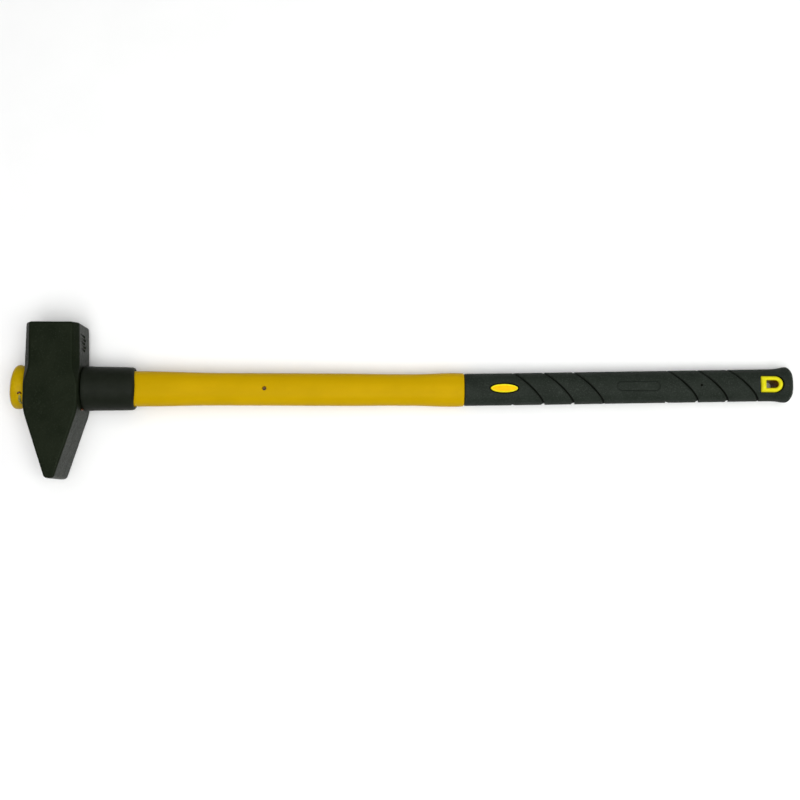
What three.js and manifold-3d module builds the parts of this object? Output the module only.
// Cross-peen sledge hammer with a moulded glass-fibre handle. Millimetres.
//
// The tool frame, in which every piece below is drawn:
//   X runs along the handle, from the centre of the head's eye (0) towards the butt,
//   Y runs along the head, towards the striking face, and Z is across the cheeks.
// The last section lays the finished tool down: it rests on one edge of a cheek and on the
// underside of the butt, as a sledge hammer lies on a floor.

import * as THREE from "three";
import { LoftGeometry } from "three/addons/geometries/LoftGeometry.js";
import { mergeVertices } from "three/addons/utils/BufferGeometryUtils.js";
import Module from "manifold-3d";

const wasm = await Module();
wasm.setup();

// ---------------------------------------------------------------- driving dimensions

const CLEARANCE = 0.3; // gap left between neighbouring pieces
const OVERCUT = 1; // how far a cutter runs past the surface that it opens

const HEAD = {
  faceY: 75.2, // striking face
  tipY: -103.5, // end of the peen
  shoulderY: -25.4, // where the peen starts to narrow
  pollY: 27, // where the poll starts to narrow
  halfWidth: 31.1, // along the handle, at the eye
  faceHalfWidth: 30, // along the handle, at the striking face
  tipHalfWidth: 5.4, // along the handle, where the flanks would meet the end of the peen
  halfDepth: 32, // cheek to middle
  tipHalfDepth: 31.2, // the same at the end of the peen, which is drafted
  cheekHalfWidth: 24.1, // flat part of a cheek in the poll, between the chamfers
  pollChamferDepth: 9, // how far the poll's chamfers reach down its sides
  chamferEndY: 0, // where they have run out
  edgeChamfer: 1.8, // on the long edges beside the eye
  tipChamfer: 1.5, // on the long edges at the end of the peen
  faceBevel: 3, // around the striking face
  noseRadius: 5, // between the flanks and the flat end of the peen
  shoulderBlend: 5, // half the length over which the shoulder is rounded
};

// The eye is an oval hole, a little wider at both mouths than in the middle.
const EYE = { halfHeight: 19.3, halfDepth: 15, mouthFlare: 0.6 };

const TOOL = { plugEndX: -51.2, buttX: 844.8 }; // nearly 900 mm from end to end

// The rear part of the handle is set towards the striking face by about one degree.
const SET = { startX: 450, slope: 0.0207, blend: 40 };

const TANG_START_X = -39.5; // end of the handle, inside the plug
const CORE = { endX: 795, height: 22, depth: 15 };

const OVAL = 2.3; // superellipse exponent of the handle's section
const ROUND = 2; // exponent of a plain ellipse

// Sides of each piece's section. A bore has as many as the piece inside it.
const CORE_SIDES = 24;
const JACKET_SIDES = 28;
const EYE_SIDES = 32;
const PLUG_SIDES = 32;
const SLEEVE_SIDES = 36;
const GRIP_SIDES = 36;

// Stations along the yellow jacket: [X, height, depth]. It is narrow in the eye, full under the
// over-strike sleeve, slim in the middle, flared again at the grip, and narrow under the grip.
const JACKET_SHOULDER_X = HEAD.halfWidth + CLEARANCE;
const JACKET_TANG = [35, 26.6]; // height and depth in the eye
const JACKET_EXPOSED = [
  [JACKET_SHOULDER_X, 40.5, 33],
  [96, 40.5, 33],
  [130, 39.5, 32.2],
  [165, 37.8, 30.8],
  [200, 37.3, 30.2],
  [270, 37.3, 30],
  [338, 37.2, 30],
  [372, 36.4, 29.6],
  [407, 36.3, 29.6],
  [424, 37.1, 30.2],
  [441, 38.4, 31.2],
  [454, 38.8, 31.6],
  [461.2, 38.3, 31.2],
];
const GRIP_START_X = 466.4;
const JACKET_REAR = [29, 22.6]; // height and depth under the grip
const JACKET_END_X = 838;

// Stations along the outside of the rubber grip: straight, then flared at the butt.
const GRIP = { startX: 467.4, endX: 800, height: 37, depth: 30.6 };
const BUTT_WIDEST = [838.5, 41.2, 34.2];
const BUTT_STATIONS = [
  [819, 37.2, 31],
  [828, 38.2, 32.1],
  [834.5, 40.6, 33.7],
  BUTT_WIDEST,
  [840.8, 38.8, 32],
  [843.2, 33.8, 27.6],
  [844.3, 30.4, 24.4],
  [TOOL.buttX, 25, 19.4],
];

// Lying down, the tool rests on the cheek's edge beside the eye and on the widest part of the
// butt. The poll is fuller by so much that its own, narrower cheek edge touches the floor too.
const REST_X = HEAD.halfWidth - HEAD.edgeChamfer;
const LIE = Math.atan2(HEAD.halfDepth - BUTT_WIDEST[2] / 2, BUTT_WIDEST[0] - REST_X);
const POLL_HALF_DEPTH = HEAD.halfDepth + (REST_X - HEAD.cheekHalfWidth) * Math.tan(LIE);

// Diagonal grooves around the grip, in two groups of three. Each side of the grip has its own,
// and they meet at its top and bottom edges, where a groove's end is one spacing from its start.
const GROOVE = {
  centres: [544.5, 579, 613.5, 722.5, 757, 791.5],
  lean: 0.932, // how far a groove runs along X for each millimetre of Y
  bow: 2.6, // how far its ends lie towards the head, off that slanting line
  leadWidth: 3.6, // width of its shallow side
  steepWidth: 1, // width of its steep side
  depth: 1.3,
};

// The over-strike sleeve, a rubber tube behind the head: [X, height, depth].
const SLEEVE_STATIONS = [
  [JACKET_SHOULDER_X, 52, 49.6],
  [34.5, 51.4, 49],
  [42, 50.8, 48.4],
  [86, 49.4, 47],
  [89, 44.8, 42.4],
];

// The yellow plug that caps the handle in front of the head: [X, height, depth]. It sits a
// little off the handle's centre, towards the striking face, and its end leans.
const PLUG_OFFSET_Y = 1.4;
const PLUG_LEAN = 0.07; // how far its end runs along X for each millimetre of Y
const PLUG_START_X = -HEAD.halfWidth - CLEARANCE;
const PLUG_STATIONS = [
  [PLUG_START_X, 43, 36.5],
  [-34, 46, 39.4],
  [-38, 49, 42.2],
  [-41.5, 50.8, 43.8],
  [-45.5, 50.8, 43.8],
  [-47.8, 48.8, 42],
  [-49.4, 45.2, 38.6],
  [-50.6, 39.6, 33.2],
  [TOOL.plugEndX, 31, 24.6],
];

const LOCATOR = { x: 238, radius: 2.3 }; // moulding locator holes, down to the core
const BADGE = { x: 511.7, halfLength: 15.5, halfHeight: 4.75, proud: 0.3 };
const EYELET = {
  startX: 807, // flat side
  endX: 831.6, // round side
  halfHeight: 9.3,
  holeStartX: 813,
  holeEndX: 827,
  holeHalfHeight: 4.4,
  proud: 0.5, // how far it stands out of the grip
};
const STATION_STEP = 66; // most distance between stations along the bent part of the handle
const THROUGH = 20; // half the length of a cutter that runs right across the handle

// ---------------------------------------------------------------- shapes and booleans

// How far the handle's centre line stands off the X axis, towards the striking face.
function setOf(x) {
  const u = x - SET.startX;
  return (SET.slope * (u + Math.hypot(u, SET.blend))) / 2;
}

// One point of a superellipse, at an angle measured from +Y towards +Z.
function ovalPoint(halfHeight, halfDepth, exponent, angle) {
  const c = Math.cos(angle);
  const s = Math.sin(angle);
  const power = 2 / exponent;
  const y = halfHeight * Math.sign(c) * Math.abs(c) ** power;
  const z = halfDepth * Math.sign(s) * Math.abs(s) ** power;
  return [y, z];
}

// A ring of points across the handle at x, centred on its centre line.
function ovalRing(x, height, depth, exponent, sides) {
  const ring = [];
  for (let i = 0; i < sides; i++) {
    const angle = (i / sides) * 2 * Math.PI;
    const [y, z] = ovalPoint(height / 2, depth / 2, exponent, angle);
    ring.push(new THREE.Vector3(x, setOf(x) + y, z));
  }
  return ring;
}

// A solid along the handle through stations [X, height, depth], given from low to high X.
function ovalBar(stations, exponent, sides) {
  const rings = stations.map(([x, h, d]) => ovalRing(x, h, d, exponent, sides));
  return solidOf(new LoftGeometry(rings, { capStart: true, capEnd: true }));
}

// Stations of one size, close enough together to follow the centre line.
function evenStations(startX, endX, height, depth) {
  const count = Math.ceil((endX - startX) / STATION_STEP);
  const stations = [];
  for (let i = 0; i <= count; i++) {
    stations.push([startX + ((endX - startX) * i) / count, height, depth]);
  }
  return stations;
}

// The same stations, grown all round.
function grown(stations, by) {
  return stations.map(([x, h, d]) => [x, h + 2 * by, d + 2 * by]);
}

// A closed three.js geometry as a manifold-3d solid.
function solidOf(geometry) {
  const bare = geometry.index ? geometry.toNonIndexed() : geometry.clone();
  bare.deleteAttribute("normal");
  bare.deleteAttribute("uv");
  const merged = mergeVertices(bare, 1e-4);
  const made = new wasm.Manifold(
    new wasm.Mesh({
      numProp: 3,
      vertProperties: merged.attributes.position.array,
      triVerts: new Uint32Array(merged.index.array),
    }),
  );
  return made;
}

// A manifold-3d solid as a three.js geometry.
function geometryOf(solid) {
  const mesh = solid.getMesh();
  const positions = new Float32Array(mesh.numVert * 3);
  for (let i = 0; i < mesh.numVert; i++) {
    const at = i * mesh.numProp;
    positions.set(mesh.vertProperties.subarray(at, at + 3), i * 3);
  }
  const geometry = new THREE.BufferGeometry();
  geometry.setAttribute("position", new THREE.BufferAttribute(positions, 3));
  geometry.setIndex(new THREE.BufferAttribute(mesh.triVerts, 1));
  geometry.computeVertexNormals();
  return geometry;
}

// A flat outline in X and Y, pushed through Z from low to high.
function prism(shape, lowZ, highZ) {
  const geometry = new THREE.ExtrudeGeometry(shape, {
    depth: highZ - lowZ,
    bevelEnabled: false,
    curveSegments: 14,
  });
  geometry.translate(0, 0, lowZ);
  return solidOf(geometry);
}

// ---------------------------------------------------------------- materials

function material(color, roughness, metalness) {
  return new THREE.MeshStandardMaterial({ color, roughness, metalness });
}

const FORGED_STEEL = material(0x222320, 0.55, 0.6);
const GLASS_FIBRE = material(0x6b3a1e, 0.6, 0);
const YELLOW_PLASTIC = material(0xd2ab04, 0.42, 0);
const CAST_RESIN = material(0xb8a662, 0.3, 0);
const SLEEVE_RUBBER = material(0x262b22, 0.55, 0);
const GRIP_RUBBER = material(0x333b35, 0.7, 0);
const BADGE_PLASTIC = material(0xf3d60c, 0.4, 0);

// ---------------------------------------------------------------- head

// Half the head's width along the handle, at a height y on its long axis.
function headHalfWidth(y) {
  const { shoulderY, tipY, pollY, faceY } = HEAD;
  if (y < shoulderY) {
    return THREE.MathUtils.mapLinear(y, tipY, shoulderY, HEAD.tipHalfWidth, HEAD.halfWidth);
  }
  if (y > pollY) {
    return THREE.MathUtils.mapLinear(y, pollY, faceY, HEAD.halfWidth, HEAD.faceHalfWidth);
  }
  return HEAD.halfWidth;
}

// Half the head's depth at a height y below its shoulder.
function peenHalfDepth(y) {
  const startY = HEAD.shoulderY + HEAD.shoulderBlend;
  return THREE.MathUtils.mapLinear(y, HEAD.tipY, startY, HEAD.tipHalfDepth, HEAD.halfDepth);
}

// A rectangle with cut corners, across the head's long axis. The cuts reach across the cheeks
// by one amount and down the sides by another.
function headRing(y, halfWidth, halfDepth, across, down = across) {
  const w = halfWidth;
  const d = halfDepth;
  const corners = [
    [w - across, d],
    [w, d - down],
    [w, down - d],
    [w - across, -d],
    [across - w, -d],
    [-w, down - d],
    [-w, d - down],
    [across - w, d],
  ];
  return corners.map(([x, z]) => new THREE.Vector3(x, y, z));
}

// The rounded end of the peen: rings from its flat nose out to its flanks.
function noseRings() {
  const { tipY, tipHalfWidth, tipChamfer, noseRadius } = HEAD;
  const flank = Math.atan2(HEAD.halfWidth - tipHalfWidth, HEAD.shoulderY - tipY);
  const sweep = Math.PI / 2 - flank;
  const rise = noseRadius * (1 - Math.cos(sweep));
  const centreX = headHalfWidth(tipY + rise) - noseRadius * Math.sin(sweep);
  const steps = 4;
  const rings = [];
  for (let i = 0; i <= steps; i++) {
    const angle = (sweep * i) / steps;
    const y = tipY + noseRadius * (1 - Math.cos(angle));
    const halfWidth = centreX + noseRadius * Math.sin(angle);
    const inset = noseRadius * 0.4 * (1 - Math.sin(angle));
    const chamfer = Math.min(tipChamfer, halfWidth * 0.8);
    rings.push(headRing(y, halfWidth, peenHalfDepth(y) - inset, chamfer));
  }
  return rings;
}

// Stations through the eye, out to reach on both sides of its middle.
function eyeStations(reach, shrink) {
  const flare = (EYE.mouthFlare * reach) / HEAD.halfWidth;
  return [-1, 0, 1].map((side) => {
    const grow = Math.abs(side) * flare - shrink;
    return [side * reach, 2 * (EYE.halfHeight + grow), 2 * (EYE.halfDepth + grow)];
  });
}

// The oval hole through the head, along the handle.
function eyeCutter() {
  return ovalBar(eyeStations(HEAD.halfWidth + OVERCUT, 0), ROUND, EYE_SIDES);
}

function makeHead() {
  const { shoulderY, shoulderBlend, pollY, faceY, faceBevel } = HEAD;
  const { halfWidth, halfDepth, cheekHalfWidth } = HEAD;
  const { edgeChamfer, pollChamferDepth, chamferEndY } = HEAD;
  const belowY = shoulderY - shoulderBlend;
  const aboveY = shoulderY + shoulderBlend;
  const bevelY = faceY - faceBevel;
  const bevelHalfWidth = headHalfWidth(bevelY);
  const faceHalfWidth = headHalfWidth(faceY) - faceBevel;
  const faceDepth = POLL_HALF_DEPTH - faceBevel;
  const pollAcross = halfWidth - cheekHalfWidth;
  const bevelAcross = bevelHalfWidth - cheekHalfWidth;
  const softened = 0.5; // how far the rounding of the shoulder cuts into its corner
  const rings = [
    ...noseRings(),
    headRing(belowY, headHalfWidth(belowY), peenHalfDepth(belowY), edgeChamfer),
    headRing(shoulderY, halfWidth - softened, peenHalfDepth(shoulderY), edgeChamfer),
    headRing(aboveY, halfWidth, halfDepth, edgeChamfer),
    headRing(chamferEndY, halfWidth, halfDepth, edgeChamfer),
    headRing(pollY, halfWidth, POLL_HALF_DEPTH, pollAcross, pollChamferDepth),
    headRing(bevelY, bevelHalfWidth, POLL_HALF_DEPTH, bevelAcross, pollChamferDepth),
    headRing(faceY, faceHalfWidth, faceDepth, bevelAcross, pollChamferDepth),
  ];
  const blank = solidOf(new LoftGeometry(rings, { capStart: true, capEnd: true }));
  return blank.subtract(eyeCutter());
}

// ---------------------------------------------------------------- handle

function makeCore() {
  const stations = evenStations(TANG_START_X, CORE.endX, CORE.height, CORE.depth);
  return ovalBar(stations, ROUND, CORE_SIDES);
}

// The D-shaped outline of the hanging eyelet: flat towards the head, round towards the butt.
function dShape(startX, endX, halfHeight) {
  const y = setOf((EYELET.startX + EYELET.endX) / 2);
  const radius = halfHeight;
  const shape = new THREE.Shape();
  shape.moveTo(startX, y - halfHeight);
  shape.lineTo(endX - radius, y - halfHeight);
  shape.absarc(endX - radius, y, radius, -Math.PI / 2, Math.PI / 2, false);
  shape.lineTo(startX, y + halfHeight);
  shape.closePath();
  return shape;
}

function eyeletBlock(grow) {
  const { startX, endX, halfHeight } = EYELET;
  return prism(dShape(startX - grow, endX + grow, halfHeight + grow), -THROUGH, THROUGH);
}

function makeJacket() {
  const [tangHeight, tangDepth] = JACKET_TANG;
  const [rearHeight, rearDepth] = JACKET_REAR;
  const exposedEnd = JACKET_EXPOSED[JACKET_EXPOSED.length - 1];
  const stations = [
    [TANG_START_X, tangHeight, tangDepth],
    [JACKET_SHOULDER_X - 0.2, tangHeight, tangDepth],
    ...JACKET_EXPOSED,
    [GRIP_START_X - CLEARANCE - 0.2, exposedEnd[1] - 1.4, exposedEnd[2] - 1.2],
    ...evenStations(GRIP_START_X - CLEARANCE, JACKET_END_X, rearHeight, rearDepth),
  ];
  const boreEnd = CORE.endX + CLEARANCE;
  const core = evenStations(TANG_START_X - OVERCUT, boreEnd, CORE.height, CORE.depth);
  const bore = ovalBar(grown(core, CLEARANCE), ROUND, CORE_SIDES);
  const { x, radius } = LOCATOR;
  const locators = new THREE.CylinderGeometry(radius, radius, 2 * THROUGH, 16);
  locators.rotateX(Math.PI / 2);
  locators.translate(x, setOf(x), 0);
  return ovalBar(stations, OVAL, JACKET_SIDES)
    .subtract(bore)
    .subtract(solidOf(locators))
    .subtract(eyeletBlock(CLEARANCE));
}

// A cutter that leaves clearance around the part of the jacket inside the eye.
function tangCutter(startX, endX) {
  const [height, depth] = JACKET_TANG;
  const stations = [
    [startX, height, depth],
    [endX, height, depth],
  ];
  return ovalBar(grown(stations, CLEARANCE), OVAL, JACKET_SIDES);
}

// The resin cast between the jacket and the wall of the eye.
function makeResin() {
  const reach = HEAD.halfWidth;
  const outside = ovalBar(eyeStations(reach, CLEARANCE), ROUND, EYE_SIDES);
  return outside.subtract(tangCutter(-reach - OVERCUT, reach + OVERCUT));
}

function makePlug() {
  const rings = PLUG_STATIONS.toReversed().map(([x, height, depth]) => {
    const lean = PLUG_LEAN * THREE.MathUtils.inverseLerp(PLUG_START_X, TOOL.plugEndX, x);
    const ring = ovalRing(x, height, depth, ROUND, PLUG_SIDES);
    return ring.map((p) => new THREE.Vector3(x + lean * p.y, p.y + PLUG_OFFSET_Y, p.z));
  });
  const outside = solidOf(new LoftGeometry(rings, { capStart: true, capEnd: true }));
  const socket = tangCutter(TANG_START_X - CLEARANCE, OVERCUT - HEAD.halfWidth);
  return outside.subtract(socket);
}

function makeSleeve() {
  const [startX] = SLEEVE_STATIONS[0];
  const [endX] = SLEEVE_STATIONS[SLEEVE_STATIONS.length - 1];
  const [, height, depth] = JACKET_EXPOSED[0];
  const inside = [
    [startX - OVERCUT, height, depth],
    [endX + OVERCUT, height, depth],
  ];
  const bore = ovalBar(grown(inside, CLEARANCE), OVAL, JACKET_SIDES);
  return ovalBar(SLEEVE_STATIONS, ROUND, SLEEVE_SIDES).subtract(bore);
}

// ---------------------------------------------------------------- grip

function gripStations() {
  const { startX, endX, height, depth } = GRIP;
  const edge = [GRIP_START_X, height - 0.6, depth - 0.6];
  return [edge, ...evenStations(startX, endX, height, depth), ...BUTT_STATIONS];
}

// One groove across the side of the grip that faces +Z, leaning back from top to bottom.
function grooveCutter(centreX) {
  const { height, depth } = GRIP;
  const steps = 12;
  const pastSide = 0.03; // radians that it runs past the top and bottom edges
  const clear = 0.5; // share of its depth that the cutter stands out of the grip
  const rings = [];
  for (let i = 0; i <= steps; i++) {
    const angle = -pastSide + ((Math.PI + 2 * pastSide) * i) / steps;
    const [y, z] = ovalPoint(height / 2, depth / 2, OVAL, angle);
    const x = centreX - GROOVE.lean * y - GROOVE.bow * (2 * y / height) ** 2;
    const out = new THREE.Vector2(y / height ** 2, z / depth ** 2).normalize();
    const point = (along, off) =>
      new THREE.Vector3(x + along, setOf(x) + y + out.x * off, z + out.y * off);
    rings.push([
      point(0, -GROOVE.depth),
      point(GROOVE.steepWidth * (1 + clear), GROOVE.depth * clear),
      point(-GROOVE.leadWidth * (1 + clear), GROOVE.depth * clear),
    ]);
  }
  return solidOf(new LoftGeometry(rings, { capStart: true, capEnd: true }));
}

// The same cutter turned half a turn about the handle's own centre line at centreX.
function turned(cutter, centreX) {
  return cutter
    .translate([0, -setOf(centreX), 0])
    .rotate([180, 0, 0])
    .translate([0, setOf(centreX), 0]);
}

function badgeShape(grow) {
  const shape = new THREE.Shape();
  const { x, halfLength, halfHeight } = BADGE;
  shape.absellipse(x, setOf(x), halfLength + grow, halfHeight + grow, 0, 2 * Math.PI, false, 0);
  return shape;
}

function makeGrip() {
  const [rearHeight, rearDepth] = JACKET_REAR;
  const boreEnd = JACKET_END_X + CLEARANCE;
  const jacket = evenStations(GRIP_START_X - OVERCUT, boreEnd, rearHeight, rearDepth);
  const bore = ovalBar(grown(jacket, CLEARANCE), OVAL, JACKET_SIDES);
  let grip = ovalBar(gripStations(), OVAL, GRIP_SIDES);
  for (const centreX of GROOVE.centres) {
    const cutter = grooveCutter(centreX);
    grip = grip.subtract(cutter).subtract(turned(cutter, centreX));
  }
  const windows = prism(badgeShape(CLEARANCE), -THROUGH, THROUGH);
  return grip.subtract(bore).subtract(eyeletBlock(CLEARANCE)).subtract(windows);
}

// A yellow oval set in a window of the grip, resting on the jacket. side is +1 or -1.
function makeBadge(side) {
  const topZ = GRIP.depth / 2 + BADGE.proud;
  const bottomZ = JACKET_REAR[1] / 2 + CLEARANCE;
  const { x, halfLength, halfHeight } = BADGE;
  const flatLength = 0.55; // share of its length that stays at full height
  const sides = 28;
  const layers = [
    [bottomZ, 1],
    [topZ - 1, 1],
    [topZ - 0.35, 0.9],
    [topZ, flatLength],
  ];
  const rings = layers.map(([z, share]) => {
    const ring = [];
    for (let i = 0; i < sides; i++) {
      const angle = (i / sides) * 2 * Math.PI;
      const dx = halfLength * share * Math.cos(angle);
      const dy = halfHeight * share * Math.sin(angle);
      ring.push(new THREE.Vector3(x + dx, setOf(x) + dy * side, z * side));
    }
    return ring;
  });
  return solidOf(new LoftGeometry(rings, { capStart: true, capEnd: true }));
}

// The eyelet follows the grip's surface, and stands a little out of it.
function makeEyelet() {
  const { holeStartX, holeEndX, holeHalfHeight, proud } = EYELET;
  const hole = prism(dShape(holeStartX, holeEndX, holeHalfHeight), -THROUGH, THROUGH);
  const envelope = ovalBar(grown(gripStations(), proud), OVAL, GRIP_SIDES);
  return eyeletBlock(0).intersect(envelope).subtract(hole);
}

// ---------------------------------------------------------------- assembly

const tool = new THREE.Group();

function add(name, solid, finish) {
  const mesh = new THREE.Mesh(geometryOf(solid), finish);
  mesh.name = name;
  tool.add(mesh);
}

add("hammer_head", makeHead(), FORGED_STEEL);
add("core_rod", makeCore(), GLASS_FIBRE);
add("handle_jacket", makeJacket(), YELLOW_PLASTIC);
add("eye_resin", makeResin(), CAST_RESIN);
add("head_end_plug", makePlug(), YELLOW_PLASTIC);
add("overstrike_sleeve", makeSleeve(), SLEEVE_RUBBER);
add("grip_sleeve", makeGrip(), GRIP_RUBBER);
add("badge_upper", makeBadge(1), BADGE_PLASTIC);
add("badge_lower", makeBadge(-1), BADGE_PLASTIC);
add("hang_eyelet", makeEyelet(), YELLOW_PLASTIC);

tool.rotation.y = LIE;

// The row's origin is under the middle of the tool, on the floor.
tool.updateMatrixWorld(true);
const box = new THREE.Box3().setFromObject(tool, true);
const middle = box.getCenter(new THREE.Vector3());
tool.position.set(-middle.x, -middle.y, -box.min.z);

const hammer = new THREE.Group();
hammer.add(tool);

export default hammer;
